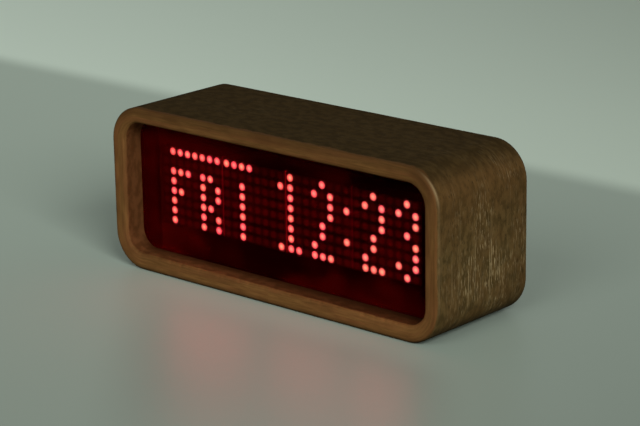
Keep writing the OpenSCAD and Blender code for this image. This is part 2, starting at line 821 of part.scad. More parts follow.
module jack_lugs() color("gold") for (side = [-1, 1])
    translate([-jack_x + side * lug_spacing / 2, jack_end_y, button_z])
        box([-lug_size[0] / 2, -lug_size[1], -lug_size[2] / 2], [lug_size[0] / 2, 0, lug_size[2] / 2]);

// Lead from one point to another that leaves along -Y, passes some places on its way and ends along +Y
module lead(start, places, end, side_way) {
    first_run = [start, start - [0, lead_d, 0]];
    last_run = [end - [0, 2 * lead_d, 0], end];
    path = curve(concat(first_run, places, last_run), lead_steps);
    swept_tube(path, path_ways(path, [0, -1, 0], [0, 1, 0]), lead_d / 2, lead_sides, side_way);
}

// The power leads pass below the ribbon cable on their way from the lugs to the controller board
module power_leads() color("firebrick") for (side = [-1, 1]) {
    start = [-jack_x + side * lug_spacing / 2, jack_end_y - lug_size[1], button_z];
    end = [controller_x - controller_w / 2 + power_pad_in, controller_y,
        mid_z - power_pad_drop + side * power_pad_pitch / 2];
    low_z = end[2] + power_lift;
    bend = (end[0] - start[0]) * power_bend_share;
    drop = start + power_first_bend;
    near = [start[0] + bend, start[1] - lead_dip + lead_rise, low_z];
    far = [end[0] - bend, start[1], low_z - power_lift / 2];
    lead(start, [drop, near, far], end, [1, 0, 1]);
}

// Cap of one button: the stem that shows, the collar that stops it and the spigot in the spring
module button_cap(i) color("#303030") {
    x = button_place(i);
    eased_rod(x, button_z, collar_end_y, flange_y + cap_out, cap_d, cap_ease);
    rod(x, button_z, collar_end_y, lip_y, collar_d);
    rod(x, button_z, collar_end_y - spigot_l, lip_y, spigot_d);
}

module mode_button() button_cap(0);

module up_button() button_cap(1);

module down_button() button_cap(2);

// Helix of a return spring, between the button's base and its collar
spring_rings = 8;
spring_sides = 6;
spring_low = barrel_end_y + spring_wire / 2 + spring_clear;
spring_rise = collar_end_y - barrel_end_y - spring_wire - 2 * spring_clear;
spring_steps = spring_turns * spring_rings;
spring_path = [for (k = [0:spring_steps])
    let (a = 360 * k / spring_rings, r = spring_d / 2)
    [r * cos(a), spring_low + spring_rise * k / spring_steps, r * sin(a)]];
spring_start = unit(spring_path[1] - spring_path[0]);
spring_end = unit(spring_path[spring_steps] - spring_path[spring_steps - 1]);
spring_space = min([for (k = [0:len(spring_path) - 1 - spring_rings])
    norm(spring_path[k + spring_rings] - spring_path[k])]) - spring_wire;
echo("least gap between the turns of a spring", spring_space);

module return_spring(i) color("silver") translate([button_place(i), 0, button_z])
    swept_tube(spring_path, path_ways(spring_path, spring_start, spring_end), spring_wire / 2, spring_sides,
        [0, 1, 0]);

module mode_spring() return_spring(0);

module up_spring() return_spring(1);

module down_spring() return_spring(2);

// Bushes with a flange outside the cover and a lip that guides the cap
module button_bushes() color("#202020") for (i = [0:buttons - 1]) {
    x = button_place(i);
    difference() {
        panel_body(x, barrel_end_y);
        rod(x, button_z, barrel_end_y - cut, lip_y, barrel_bore);
        rod(x, button_z, lip_y - cut, flange_y + cut, cap_d + 2 * cap_gap);
    }
}

module button_nuts() color("silver") for (i = [0:buttons - 1]) cover_nut(button_place(i));

// Bases with a post inside the spring, which stops the spigot at the end of its travel
module button_bases() color("#3a3a3a") for (i = [0:buttons - 1]) {
    rod(button_place(i), button_z, base_end_y, barrel_end_y, barrel_d);
    rod(button_place(i), button_z, barrel_end_y - bond, stop_y - spring_clear, spigot_d);
}

// Middle of a button's terminal along Z
function terminal_z(side) = button_z + side * terminal_spacing / 2;

module button_terminals() color("gold") for (i = [0:buttons - 1], side = [-1, 1])
    rod(button_place(i), terminal_z(side), base_end_y - terminal_l, base_end_y, terminal_d);

// The leads fan out on their way to a row of pads at the controller board's edge
module button_leads() color("steelblue") for (i = [0:buttons - 1], side = [-1, 1]) {
    start = [button_place(i), base_end_y - terminal_l, terminal_z(side)];
    end = [controller_x + controller_w / 2 - button_pad_in, controller_y,
        button_z + side * (i + 0.5) * button_pad_pitch];
    level = start[1] - lead_dip;
    slope = (end[2] - start[2]) / (start[0] - end[0]);
    near = [start[0] - button_bend, level, start[2] + slope * button_bend];
    far = [end[0] + button_last_bend, level + lead_rise, end[2]];
    lead(start, [near, far], end, [0, 0, 1]);
}

wooden_case();
red_window();
matrix_shell(0);  // matrix_shell_1
matrix_shell(1);  // matrix_shell_2
matrix_shell(2);  // matrix_shell_3
matrix_shell(3);  // matrix_shell_4
lit_dots();
unlit_dots();
matrix_substrates();
matrix_pins();
matrix_sockets();
display_board();
driver_chips();
driver_capacitors();
driver_resistors();
left_cleat();
right_cleat();
board_screws();
cover_blocks();
rear_cover();
cover_screws();
controller_board();
controller_spacers();
controller_screws();
controller_chip();
clock_chip();
crystal();
filter_capacitor();
cell_holder();
coin_cell();
display_connector();
controller_connector();
ribbon_cable();
power_jack();
jack_pin();
jack_nut();
jack_lugs();
power_leads();
mode_button();
up_button();
down_button();
mode_spring();
up_spring();
down_spring();
button_bushes();
button_nuts();
button_bases();
button_terminals();
button_leads();
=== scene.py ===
# %% [markdown]
# # A desk clock in a wooden tube
# This lesson dresses a finished model of a small desk clock: a rounded tube of walnut, a dark red window
# and a display of round dots behind it. The solids come from a packed model, and every piece keeps the
# place that the solids give it. Lengths are in metres. The front looks along -Y, and the desk is at Z = 0.

# %% Load the packed clock
import json

import bpy
import numpy as np
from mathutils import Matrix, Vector


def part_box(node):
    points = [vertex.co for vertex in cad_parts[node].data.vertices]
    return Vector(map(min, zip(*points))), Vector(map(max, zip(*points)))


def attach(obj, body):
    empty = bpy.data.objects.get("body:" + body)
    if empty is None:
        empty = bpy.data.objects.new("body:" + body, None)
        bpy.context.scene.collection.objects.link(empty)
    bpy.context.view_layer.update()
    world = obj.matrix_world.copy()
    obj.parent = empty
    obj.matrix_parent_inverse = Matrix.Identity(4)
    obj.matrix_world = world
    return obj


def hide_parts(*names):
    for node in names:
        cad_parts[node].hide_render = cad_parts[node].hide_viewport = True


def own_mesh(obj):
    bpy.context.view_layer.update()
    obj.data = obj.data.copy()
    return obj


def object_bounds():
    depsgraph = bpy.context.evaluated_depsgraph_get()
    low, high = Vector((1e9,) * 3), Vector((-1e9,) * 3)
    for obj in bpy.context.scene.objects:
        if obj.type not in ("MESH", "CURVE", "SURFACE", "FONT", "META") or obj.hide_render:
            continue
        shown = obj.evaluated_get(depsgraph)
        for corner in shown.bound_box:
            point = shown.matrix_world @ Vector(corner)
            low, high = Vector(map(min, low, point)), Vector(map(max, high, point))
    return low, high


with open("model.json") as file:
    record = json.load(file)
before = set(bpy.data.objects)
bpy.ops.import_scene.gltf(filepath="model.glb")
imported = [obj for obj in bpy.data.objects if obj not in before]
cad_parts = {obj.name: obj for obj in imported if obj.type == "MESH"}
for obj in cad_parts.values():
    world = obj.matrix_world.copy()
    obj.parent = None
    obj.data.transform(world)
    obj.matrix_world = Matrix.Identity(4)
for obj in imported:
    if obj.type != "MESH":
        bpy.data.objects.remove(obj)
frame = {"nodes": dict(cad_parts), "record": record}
nodes = frame["nodes"]
record = frame["record"]
cad_box = [list(corner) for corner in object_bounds()]
MM = 0.001
print("solids:", len(nodes), "box in mm:", np.round(np.array(cad_box) / MM, 1).tolist())

# %% [markdown]
# ## The camera
# The clock is seen from its right and a little above. A long lens from about a metre away keeps its edges
# nearly parallel. The camera's place and its three axes were worked out from the even grid of the dots, so
# they are written here as numbers. Blender takes a matrix column by column: the ways to the right, up and
# back, and then the place.

# %% Camera
camera_data = bpy.data.cameras.new("camera")
camera_data.lens = 134.28
camera_data.sensor_width = 36
camera_data.clip_start = 0.05
camera_data.clip_end = 50
camera = bpy.data.objects.new("camera", camera_data)
bpy.context.scene.collection.objects.link(camera)
way_right = (0.74673, 0.66494, -0.01573, 0)
way_up = (-0.17807, 0.22265, 0.95849, 0)
way_back = (0.64084, -0.71295, 0.28467, 0)
camera_place = (0.58761, -0.64989, 0.29018, 1)
camera.matrix_world = (way_right, way_up, way_back, camera_place)
bpy.context.scene.camera = camera
print("camera stands at:", [round(x, 3) for x in camera.matrix_world.translation])

# %% [markdown]
# ## Shader maths as Python
# A material is a small program made of nodes. One class wraps a node's output, so that `1 - mask * 0.5`
# adds the Math nodes that it needs. Colours are mixed by a Mix node, because a Math node would turn them
# grey. Every other node comes from the method `add`, which takes the node's type, its settings and what
# goes into its sockets.

# %% A socket with operators
# A Mix node has sockets for numbers, vectors and colours. These are the places of its colours.
MIX_FIRST, MIX_SECOND, MIX_RESULT = 6, 7, 2


class Wire:
    """An output socket of a shader node, or, with no socket, the empty start of a material."""

    def __init__(self, tree, socket=None):
        self.tree = tree
        self.socket = socket

    def add(self, kind, settings=None, sockets=None, output=0):
        """Adds a node: its settings first, then values or wires for its sockets. Returns one output."""
        node = self.tree.nodes.new(kind)
        for name, value in (settings or {}).items():
            setattr(node, name, value)
        for name, value in (sockets or {}).items():
            if isinstance(value, Wire):
                self.tree.links.new(value.socket, node.inputs[name])
            else:
                node.inputs[name].default_value = value
        return Wire(self.tree, node.outputs[output]) if node.outputs else None

    def math(self, operation, *values):
        """A Math node on this wire and further values."""
        return self.add("ShaderNodeMath", {"operation": operation}, dict(enumerate((self, *values))))

    def __add__(self, other):
        return self.math("ADD", other)

    def __sub__(self, other):
        return self.math("SUBTRACT", other)

    def __rsub__(self, other):
        return self.add("ShaderNodeMath", {"operation": "SUBTRACT"}, {0: other, 1: self})

    def __mul__(self, other):
        return self.math("MULTIPLY", other)

    def __truediv__(self, other):
        return self.math("DIVIDE", other)

    def __mod__(self, other):
        return self.math("FLOORED_MODULO", other)

    def __abs__(self):
        return self.math("ABSOLUTE")

    __radd__ = __add__
    __rmul__ = __mul__

    def step(self, low, high):
        """A smooth step: 0 below low, 1 above high, and an S-shaped rise between them."""
        settings = {"interpolation_type": "SMOOTHSTEP"}
        return self.add("ShaderNodeMapRange", settings, {"Value": self, "From Min": low, "From Max": high})

    def mix(self, first, second):
        """A colour between two colours or wires, with this wire as the share of the second."""
        ends = ((MIX_FIRST, first), (MIX_SECOND, second))
        colours = {i: c if isinstance(c, Wire) else (*c, 1.0) for i, c in ends}
        return self.add("ShaderNodeMix", {"data_type": "RGBA"}, {0: self, **colours}, output=MIX_RESULT)

    def place(self):
        """The Object coordinates of the point that is shaded, in metres."""
        return self.add("ShaderNodeTexCoord", output="Object")

    def parts(self):
        """The three numbers of this vector."""
        outputs = self.add("ShaderNodeSeparateXYZ", None, {0: self}).socket.node.outputs
        return [Wire(self.tree, outputs[i]) for i in range(3)]

    def stretched(self, x, y, z):
        """This vector times three numbers, which sets how fine a pattern is along each of its axes."""
        return self.add("ShaderNodeVectorMath", {"operation": "MULTIPLY"}, {0: self, 1: (x, y, z)})

    def noise(self, scale=1.0, detail=2.0, roughness=0.5):
        """Cloudy noise between 0 and 1 at this vector."""
        sockets = {"Vector": self, "Scale": scale, "Detail": detail, "Roughness": roughness}
        return self.add("ShaderNodeTexNoise", None, sockets)

    def bump(self, depth, strength):
        """A normal that reads this wire as a relief of the given depth in metres."""
        return self.add("ShaderNodeBump", None, {"Height": self, "Distance": depth, "Strength": strength})


print("a wire has", len([name for name in vars(Wire) if not name.startswith("_")]), "named methods")

# %% [markdown]
# Every material starts as an empty tree and ends in a shader. The finishes carry the names of the record's
# material slots, so that each solid finds its own later.

# %% Start and close a material
finishes = {}


def begin(name):
    """A new material's empty tree, as the start of its wires."""
    material = bpy.data.materials.new(name)
    material.use_nodes = True
    material.node_tree.nodes.clear()
    finishes[name] = material
    return Wire(material.node_tree)


def surface(start, **sockets):
    """Closes a material with a Principled shader. A socket's name is written with _ for each space."""
    named = {name.replace("_", " "): value for name, value in sockets.items()}
    named = {n: (*v, 1.0) if isinstance(v, tuple) else v for n, v in named.items()}
    shader = start.add("ShaderNodeBsdfPrincipled", None, named)
    start.add("ShaderNodeOutputMaterial", None, {"Surface": shader})


print("slots to finish:", len(record["materials"]))

# %% [markdown]
# ## The wooden tube
# The case is a wall of walnut bent round a rectangle with round corners. It could be the solid's own mesh,
# but the grain follows the wall round the corners, and a pattern can only do that on a map of the surface.
# So the tube is worked out again at the same place and size: a section of the wall is carried along the
# loop. Both are rounded rectangles, so one function makes the two.


# %% A rounded loop
def rounded_loop(half_a, half_b, along_a, along_b, turn, gather=0.0):
    """Points and outward ways round a rectangle, anticlockwise from the middle of its lower side.

    On a straight side the point slides and the way stands still. At a corner the point stands still and
    the way turns by a quarter. A point plus its way times a radius then runs round a rectangle with round
    corners. With gather, a share of the even steps gives way to cosine steps, which are fine near the
    corners.
    """
    a, b = half_a, half_b
    knots_a = np.array([0, a, a, a, a, -a, -a, -a, -a, 0])
    knots_b = np.array([-b, -b, -b, b, b, b, b, -b, -b, -b])
    angles = np.radians([-90, -90, 0, 0, 90, 90, 180, 180, 270, 270])
    counts = np.array([along_a // 2, turn, along_b, turn, along_a, turn, along_b, turn, along_a // 2])
    first = np.repeat(np.cumsum(counts) - counts, counts)
    share = (np.arange(counts.sum()) - first) / np.repeat(counts, counts)
    share = (1 - gather) * share + gather * (1 - np.cos(np.pi * share)) / 2
    place = np.repeat(np.arange(len(counts)), counts) + share
    numbers = np.arange(len(angles))
    points = np.stack([np.interp(place, numbers, knots_a), np.interp(place, numbers, knots_b)], axis=1)
    way = np.interp(place, numbers, angles)
    return points, np.stack([np.cos(way), np.sin(way)], axis=1)


def arc_length(points):
    """Length along a closed line at each of its points, with the whole length at the end."""
    steps = np.linalg.norm(np.roll(points, -1, axis=0) - points, axis=1)
    return np.concatenate([[0], np.cumsum(steps)])


CORNER_R = 14.5 * MM
WALL = 6.8 * MM
EDGE_R = 1.4 * MM
case_low, case_high = (np.array(corner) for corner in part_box("wooden_case"))
case_w, case_d, case_h = case_high - case_low
loop_at, loop_way = rounded_loop(case_w / 2 - CORNER_R, case_h / 2 - CORNER_R, 180, 46, 18)
wall_at, wall_way = rounded_loop(WALL / 2 - EDGE_R, case_d / 2 - EDGE_R, 8, 30, 8, gather=0.9)
loop_s = arc_length(loop_at + loop_way * CORNER_R)
wall_s = arc_length(wall_at + wall_way * EDGE_R)
print("loop of", len(loop_at), "steps,", round(loop_s[-1] / MM), "mm; section of", len(wall_at), "steps")

# %% [markdown]
# Real wood is sanded by hand, so the flat faces are never quite flat, and the thin inner edge at the front
# is nicked, most of all along the bottom. Sums of cosines that fit the loop a whole number of times give
# both without a seam. They only ever take wood away, so that the tube stays inside the solid's box.


# %% Sanding and nicks
def unit_range(values):
    """Values cut off below 0 and above 1."""
    return np.clip(values, 0, 1)


def ripple(s, total, turns, seed):
    """A sum of cosines along a closed line, each with a whole number of turns, between about -1 and 1."""
    phase = np.random.default_rng(seed).uniform(0, 2 * np.pi, len(turns))
    waves = np.cos(2 * np.pi * np.outer(s / total, turns) + phase)
    return waves.sum(axis=1) / np.sqrt(len(turns))


SANDED_DEPTH = 0.08 * MM
NICK_DEPTH = 0.45 * MM
LEAST_NICK = 0.35
along = loop_s[:-1]
across = wall_s[:-1]
wave_along = ripple(along, loop_s[-1], [5, 9, 14, 23], 3)
wave_across = ripple(across, wall_s[-1], [2, 3, 5], 4)
sanded = SANDED_DEPTH * unit_range(0.5 + 0.25 * np.outer(wave_along, wave_across))
inner_front_way = np.array([-1, -1]) / np.sqrt(2)
inner_front = unit_range(wall_way @ inner_front_way) ** 6
ragged = unit_range(ripple(along, loop_s[-1], [61, 83, 97, 131, 167, 211], 8) - LEAST_NICK)
at_bottom = unit_range(-loop_way[:, 1]) ** 2
nicked = NICK_DEPTH * np.outer(ragged * (0.15 + 0.85 * at_bottom), inner_front)
print("deepest nick:", round(nicked.max() / MM, 2), "mm")

# %% [markdown]
# The inner edge at the front is also rounded over, along the top and half as much on the right. A bell
# curve along the section does that. To place it, each point of the section gets its distance from the
# middle of the nearer rim, which counts as negative on the inside of the wall.


# %% Softened inner edges
def bell(values, middle, width):
    """A bell curve of height 1: e to the power of minus the square of the distance over the width."""
    return np.exp(-(((values - middle) / width) ** 2))


SOFT_DEPTH = 0.72 * MM
SOFT_AT = -3.1 * MM
section = wall_at + wall_way * EDGE_R
half_section = wall_s[-1] / 2
from_rim = np.minimum(across % half_section, half_section - across % half_section)
outward = from_rim * np.sign(section[:, 0])
at_back = unit_range(wall_at[:, 1] / wall_at[:, 1].max())
soft_width = np.where(outward > SOFT_AT, 1.4 * MM, 3.0 * MM)
soft_edge = bell(outward, SOFT_AT, soft_width) * (1 - at_back)
faces_up = unit_range(loop_way[:, 1])
faces_right = unit_range(loop_way[:, 0])
softened = SOFT_DEPTH * np.outer(faces_up**2 + 0.5 * faces_right**2, soft_edge)
relief = sanded + nicked + softened
print("deepest relief:", round(relief.max() / MM, 2), "mm")

# %% [markdown]
# The grid of points becomes a mesh of four-sided faces that closes on itself both ways, like a ring. Its
# map counts metres along the grain and across it.


# %% Walnut tube
def put_mesh(name, points, corners):
    """A mesh object at the origin from an array of points and an array of four-sided faces."""
    mesh = bpy.data.meshes.new(name)
    mesh.from_pydata(points.reshape(-1, 3), [], corners.reshape(-1, 4).tolist())
    mesh.polygons.foreach_set("use_smooth", np.ones(len(mesh.polygons), bool))
    piece = bpy.data.objects.new(name, mesh)
    bpy.context.scene.collection.objects.link(piece)
    return piece


rows, cols = len(loop_at), len(wall_at)
reach = CORNER_R - WALL / 2 + section[:, 0] - relief * wall_way[:, 0]
depth = section[:, 1] - relief * wall_way[:, 1]
flat = loop_at[:, None, :] + loop_way[:, None, :] * reach[:, :, None]
tube_points = np.stack([flat[:, :, 0], depth, flat[:, :, 1] + case_low[2] + case_h / 2], axis=2)
i, j = np.meshgrid(np.arange(rows), np.arange(cols), indexing="ij")
next_i, next_j = (i + 1) % rows, (j + 1) % cols
tube_faces = np.stack([i * cols + j, i * cols + next_j, next_i * cols + next_j, next_i * cols + j], axis=2)
walnut_tube = put_mesh("walnut_tube", tube_points, tube_faces)
along_map = np.stack([loop_s[i], loop_s[i], loop_s[i + 1], loop_s[i + 1]], axis=2)
across_map = np.stack([wall_s[j], wall_s[j + 1], wall_s[j + 1], wall_s[j]], axis=2)
grain_map = walnut_tube.data.uv_layers.new(name="grain")
grain_map.data.foreach_set("uv", np.stack([along_map, across_map], axis=3).astype(np.float32).ravel())
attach(walnut_tube, "clock_body")
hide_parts("wooden_case")
print("walnut tube:", rows * cols, "faces")

# %% [markdown]
# Attributes tell the finish where it is: how far past the sanded rim, on the outside or the inside, which
# way the wall faces, where the rim's edges get painted shade, and where the front edge gets a pale line
# that is partly wear and partly a painted highlight.


# %% Marks on the tube
def put_attribute(piece, name, values):
    """One number for each point of a mesh."""
    made = piece.data.attributes.new(name, "FLOAT", "POINT")
    made.data.foreach_set("value", values.astype(np.float32).ravel())


def ramp(values, low, high):
    """A straight rise from 0 at low to 1 at high."""
    return unit_range((values - low) / (high - low))


RIM_REACH = 3.1 * MM
MORE_INSIDE, LESS_BEHIND, MORE_ON_TOP = 0.8 * MM, 0.9 * MM, 2.3 * MM
WEAR_HIGHLIGHT_ANGLE, WEAR_HIGHLIGHT_SPREAD = 30, 24
every_point = np.ones((rows, cols))
inward = unit_range(-wall_way[:, 0])
outward_front = (wall_way[:, 0] > 0) * (1 - at_back)
over_top = ramp(loop_way[:, 1], 0.3, 1.0)
at_left = unit_range(-loop_way[:, 0])
rim_end = RIM_REACH + MORE_INSIDE * inward - LESS_BEHIND * at_back
rim_end = rim_end + MORE_ON_TOP * np.outer(over_top, outward_front)
# Painted shade along the rim's edges: the inner edge, and the left, bottom and top outer edges.
grime = np.outer(0.10 + 0.18 * at_bottom, bell(outward, -3.2 * MM, 1.0 * MM))
grime += np.outer(0.25 * at_left, ramp(outward, 0.9 * MM, 3.6 * MM))
grime += np.outer(0.82 * at_bottom, ramp(outward, 0.9 * MM, 3.2 * MM))
grime += np.outer(0.56 * over_top, ramp(outward, -0.6 * MM, 2.8 * MM))
# A pale line on the front edge at the upper right corner: partly wear, partly a painted highlight.
loop_angle = np.degrees(np.arctan2(loop_way[:, 1], loop_way[:, 0]))
worn_corner = bell(loop_angle, WEAR_HIGHLIGHT_ANGLE, WEAR_HIGHLIGHT_SPREAD)
worn_edge = bell(outward, 3.9 * MM, 0.5 * MM) * (1 - at_back)
put_attribute(walnut_tube, "past_rim", from_rim - rim_end)
put_attribute(walnut_tube, "inside", every_point * inward)
put_attribute(walnut_tube, "facing", every_point * loop_way[:, 1:2])
put_attribute(walnut_tube, "grimed", grime)
put_attribute(walnut_tube, "worn", np.outer(worn_corner, worn_edge))
print("attributes of the tube:", len(walnut_tube.data.attributes))

# %% [markdown]
# ## Walnut
# The outside is dark, open-grained walnut. Its colour drifts in bands along the grain, fine fibres run
# through it, and short pores catch pale dust, mostly on the ends. All of it is noise on the map, stretched
# along the grain.

# %% Patterns of the grain
start = begin("walnut")
grain = start.add("ShaderNodeUVMap", {"uv_map": "grain"})


def streaked(along, across, detail, roughness=0.5):
    """Noise on the map, with so many changes in a metre along the grain and across it."""
    return grain.stretched(along, across, 1).noise(detail=detail, roughness=roughness)


bands = streaked(9, 120, 3)
fibres = streaked(110, 1500, 2)
dashes = streaked(260, 2300, 1.5).step(0.56, 0.68)
pits = streaked(420, 1900, 1).step(0.64, 0.72)
lines = streaked(24, 1300, 1).step(0.60, 0.72)
patches = streaked(34, 62, 1).step(0.36, 0.62)
mottle = streaked(210, 360, 2).step(0.36, 0.64)
redness = streaked(105, 130, 2).step(0.38, 0.64)
blotches = streaked(38, 260, 2).step(0.35, 0.68)
knots = streaked(85, 170, 3).step(0.40, 0.66)
wander = streaked(60, 1, 5, 0.75) - 0.5
tone = (bands * 0.30 + fibres * 0.30 + mottle * 0.4).step(0.24, 0.76)
print("nodes of the grain:", len(start.tree.nodes))

# %% [markdown]
# The top is painted darker than the ends, as painted shade for the light that falls more on the ends. On
# the ends the wood is redder high up and painted darker towards the back as painted shade, and the dust
# lies midway between front and back.

# %% Wood of the outside
# Painted shade: the top's colours are written darker than the ends', and the ends darken towards the back.
TOP_DARK, TOP_LIGHT = (0.0190, 0.0113, 0.0034), (0.0286, 0.0173, 0.0055)
END_DARK, END_LIGHT = (0.0385, 0.0244, 0.0074), (0.0675, 0.0423, 0.0140)
HIGH_DARK, HIGH_LIGHT = (0.0407, 0.0216, 0.0061), (0.0614, 0.0325, 0.0095)
REAR_PAINTED_SHADE = (0.0191, 0.0109, 0.0035)
END_RED = (0.0609, 0.0313, 0.0096)
PALE_DUST = (0.209, 0.157, 0.078)
OPEN_PIT = (0.012, 0.008, 0.003)
past_rim, inside, facing, grimed, worn = (
    start.add("ShaderNodeAttribute", {"attribute_name": name}, output="Fac")
    for name in ("past_rim", "inside", "facing", "grimed", "worn")
)
x, y, z = start.place().parts()
high = z.step(32 * MM, 60 * MM)
at_end = 1 - abs(facing).step(0.35, 0.98)
midway = y.step(-21 * MM, -3 * MM) * (1 - y.step(8 * MM, 22 * MM) * 0.75)
dust = (dashes * 0.87 + lines * 0.55) * patches * (0.16 + 0.84 * at_end)
dust = dust * (1 - high * 0.55) * (0.25 + 0.85 * midway)
rear_shade = y.step(6 * MM, 24 * MM) * (0.40 - 0.22 * z.step(12 * MM, 30 * MM))
end_wood = high.mix(tone.mix(END_DARK, END_LIGHT), tone.mix(HIGH_DARK, HIGH_LIGHT))
end_wood = rear_shade.mix(end_wood, REAR_PAINTED_SHADE)
end_wood = (redness * 0.35).mix(end_wood, END_RED)
outside = dust.mix(at_end.mix(tone.mix(TOP_DARK, TOP_LIGHT), end_wood), PALE_DUST)
outside = (pits * 0.75).mix(outside, OPEN_PIT)
print("nodes with the outside:", len(start.tree.nodes))

# %% [markdown]
# The rims at the front and back are sanded to a warmer, lighter brown, with painted shade along their
# edges.
# The inside of the tube is reddish, and painted shade makes it darker deeper in and darkest on its floor.

# %% Wood of the rims and the inside
RIM_DARK, RIM_LIGHT = (0.0819, 0.0392, 0.0110), (0.1353, 0.0652, 0.0194)
RIM_RED = (0.110, 0.0390, 0.0141)
RIM_KNOT = (0.0605, 0.0260, 0.0076)
RIM_SHADE = (0.032, 0.0160, 0.0045)
RIM_EDGE_SHADE = (0.018, 0.0095, 0.0030)
INNER_DARK, INNER_LIGHT = (0.0536, 0.0199, 0.0060), (0.0820, 0.0310, 0.0102)
INNER_RECESS_SHADE = (0.022, 0.0050, 0.0015)
INNER_FLOOR_SHADE = (0.014, 0.0040, 0.0012)
on_top = facing.step(0.3, 1.0)
streaks = (bands * 0.35 + fibres * 0.65).step(0.30, 0.70)
# Painted shade: the rim is darkened on its right side, most high up, and a little on top.
right_rim_shade = x.step(64 * MM, 78 * MM) * (0.25 + 0.16 * high)
rim_wood = (blotches * 0.5).mix(streaks.mix(RIM_DARK, RIM_LIGHT), RIM_RED)
rim_wood = (knots * 0.38).mix(rim_wood, RIM_KNOT)
rim_wood = (right_rim_shade + on_top * 0.12).mix(rim_wood, RIM_SHADE)
# Painted shade along the rim's edges.
rim_wood = grimed.mix(rim_wood, RIM_EDGE_SHADE)
on_floor = (0 - facing).step(0.2, 1.0)
# Painted shade: the inside darkens towards the window, most on its floor, and the floor more to the right.
inner_recess_shade = y.step(-24.0 * MM, -17.0 * MM) * (0.08 + 0.92 * on_floor)
inner_wood = (inner_recess_shade * 0.8).mix(tone.mix(INNER_DARK, INNER_LIGHT), INNER_RECESS_SHADE)
inner_wood = (on_floor * x.step(-60 * MM, 60 * MM) * 0.62).mix(inner_wood, INNER_FLOOR_SHADE)
print("nodes with the rims and the inside:", len(start.tree.nodes))

# %% [markdown]
# The rim's colour runs a little way over the edge and ends in a wandering line. Bare oiled wood has next to
# no gloss, so its specular level is low.

# %% Walnut finish
PALE_WEAR_AND_HIGHLIGHT = (0.150, 0.104, 0.050)
ragged_end = past_rim - wander * (2.5 * MM + on_top * (4.5 * MM))
sanded_rim = 1 - ragged_end.step(-0.4 * MM, 0.4 * MM)
colour = inside.step(0.55, 0.95).mix(outside, inner_wood)
colour = sanded_rim.mix(colour, rim_wood)
# The pale line on the front edge is partly wear and partly a painted highlight.
colour = (worn * 0.95).mix(colour, PALE_WEAR_AND_HIGHLIGHT)
pore_relief = fibres * 0.5 - dashes * 0.5
surface(
    start,
    Base_Color=colour,
    Roughness=0.62 - sanded_rim * 0.1 + fibres * 0.12,
    Specular_IOR_Level=0.015,
    Normal=pore_relief.bump(0.12 * MM, 0.6),
)
walnut_tube.data.materials.append(finishes["walnut"])
print("walnut nodes:", len(start.tree.nodes))

# %% [markdown]
# ## The dots
# The display has four square modules of eight by eight dots. The even grid lets a finish find the middle of
# its own dot: the remainder of a place, divided by the pitch, is the place inside one cell.

# %% Place inside a cell of the display
SIDE_DOTS = 8
shell_low, shell_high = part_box("matrix_shell_1")
module_w = shell_high.x - shell_low.x
module_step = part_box("matrix_shell_2")[0].x - shell_low.x
pitch = module_w / SIDE_DOTS


def across_module(x):
    """Distance from the left edge of the dot's own module."""
    return (x - shell_low.x) % module_step


def up_cell(z):
    """Height above the middle of the dot's cell."""
    return (z - shell_low.z) % pitch - pitch / 2


def cell_radius(x, z):
    """Distance from the middle of the dot's cell: the root of the sum of two squares."""
    across_cell = across_module(x) % pitch - pitch / 2
    height = up_cell(z)
    return (across_cell * across_cell + height * height).math("SQRT")


def cell_chance(x, z):
    """A random number for each cell, from the whole numbers that count the cells across and up."""
    module = ((x - shell_low.x) / module_step).math("FLOOR")
    column = (across_module(x) / pitch).math("FLOOR") + module * SIDE_DOTS
    row = ((z - shell_low.z) / pitch).math("FLOOR")
    counted = x.add("ShaderNodeCombineXYZ", None, {0: column, 1: row})
    return x.add("ShaderNodeTexWhiteNoise", {"noise_dimensions": "2D"}, {"Vector": counted})


print("dot pitch:", round(pitch / MM, 3), "mm")

# %% [markdown]
# A lit dot is warm in the middle and rosier at its edge. The window lets through half of the red and little
# of the rest, so the dots are written brighter and paler than they look. No two dots are quite alike: a
# white-noise number for each cell shifts a dot between rose and orange.

# %% Lit dots
MIDDLE_ROSE, MIDDLE_ORANGE = (1.08, 0.88, 0.86), (1.12, 1.45, 0.91)
MIDDLE_RIGHT = (1.1, 1.68, 1.12)
ROSE_LEFT, ROSE_RIGHT = (1.08, 0.105, 0.300), (0.92, 0.195, 0.385)
ORANGE_LEFT, ORANGE_RIGHT = (1.04, 0.190, 0.225), (0.84, 0.305, 0.295)
RESHUFFLE = 7.3
start = begin("lit_red")
x, _, z = start.place().parts()
chance = cell_chance(x, z)
to_right = x.step(-20 * MM, 64 * MM)
middle_colour = (to_right * 0.40).mix(chance.mix(MIDDLE_ROSE, MIDDLE_ORANGE), MIDDLE_RIGHT)
rose_edge = to_right.mix(ROSE_LEFT, ROSE_RIGHT)
orange_edge = to_right.mix(ORANGE_LEFT, ORANGE_RIGHT)
edge_colour = ((chance * RESHUFFLE) % 1.0).mix(rose_edge, orange_edge)
surface(
    start,
    Base_Color=(0.5, 0.12, 0.1),
    Roughness=0.4,
    Emission_Color=cell_radius(x, z).step(0.1 * MM, 1.5 * MM).mix(middle_colour, edge_colour),
    Emission_Strength=2.3,
)
print("lit dots:", len(start.tree.nodes), "nodes")

# %% [markdown]
# An unlit dot only glimmers with the light of its neighbours, so it is dimmer at the display's left and
# upper edges, where it has fewer of them.

# %% Unlit dots
BLACK = (0.0, 0.0, 0.0)
GLIMMER_MIDDLE, GLIMMER_EDGE = (1.0, 0.01, 0.05), (0.6, 0.005, 0.02)
GLIMMER_FAINT = (0.55, 0.005, 0.02)


